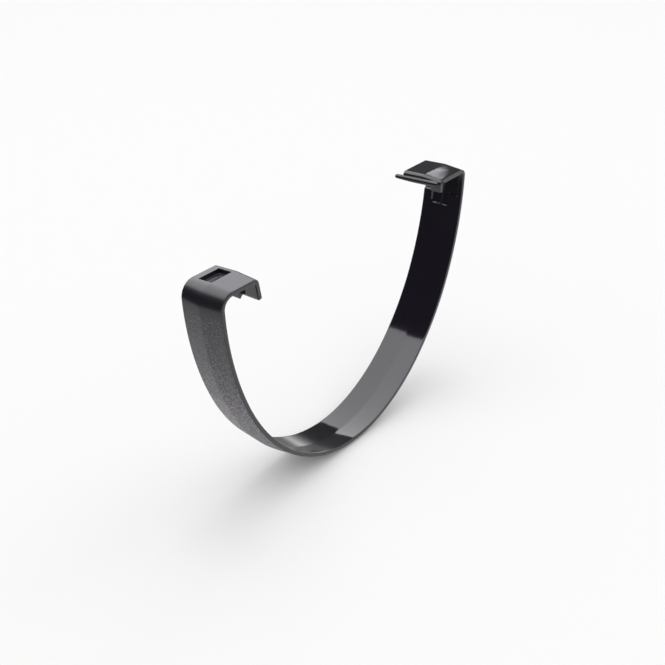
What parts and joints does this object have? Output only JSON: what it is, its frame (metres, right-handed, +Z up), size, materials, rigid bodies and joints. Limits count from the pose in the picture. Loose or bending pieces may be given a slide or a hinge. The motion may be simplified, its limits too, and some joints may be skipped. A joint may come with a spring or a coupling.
{
  "type": "gutter bracket",
  "caption": "One-piece moulded strap bracket for deep-flow guttering, with a ridged half-oval band and a snap clip at each end.",
  "frame": {"origin": "on the inside of the strap's edges at the sole, where the gutter's underside rests, midway across the strap", "axes": "+X runs across the gutter from the front clip to the rear clip, +Y along the gutter, +Z up out of the bracket's mouth"},
  "size_m": [0.1191, 0.0174, 0.0765],
  "materials": {
    "plastic": "black; fine-grained matt outside the band, glossy inside it and on the clips"
  },
  "bodies": {
    "root": {"gutter_bracket": "plastic"}
  },
  "joints": []
}
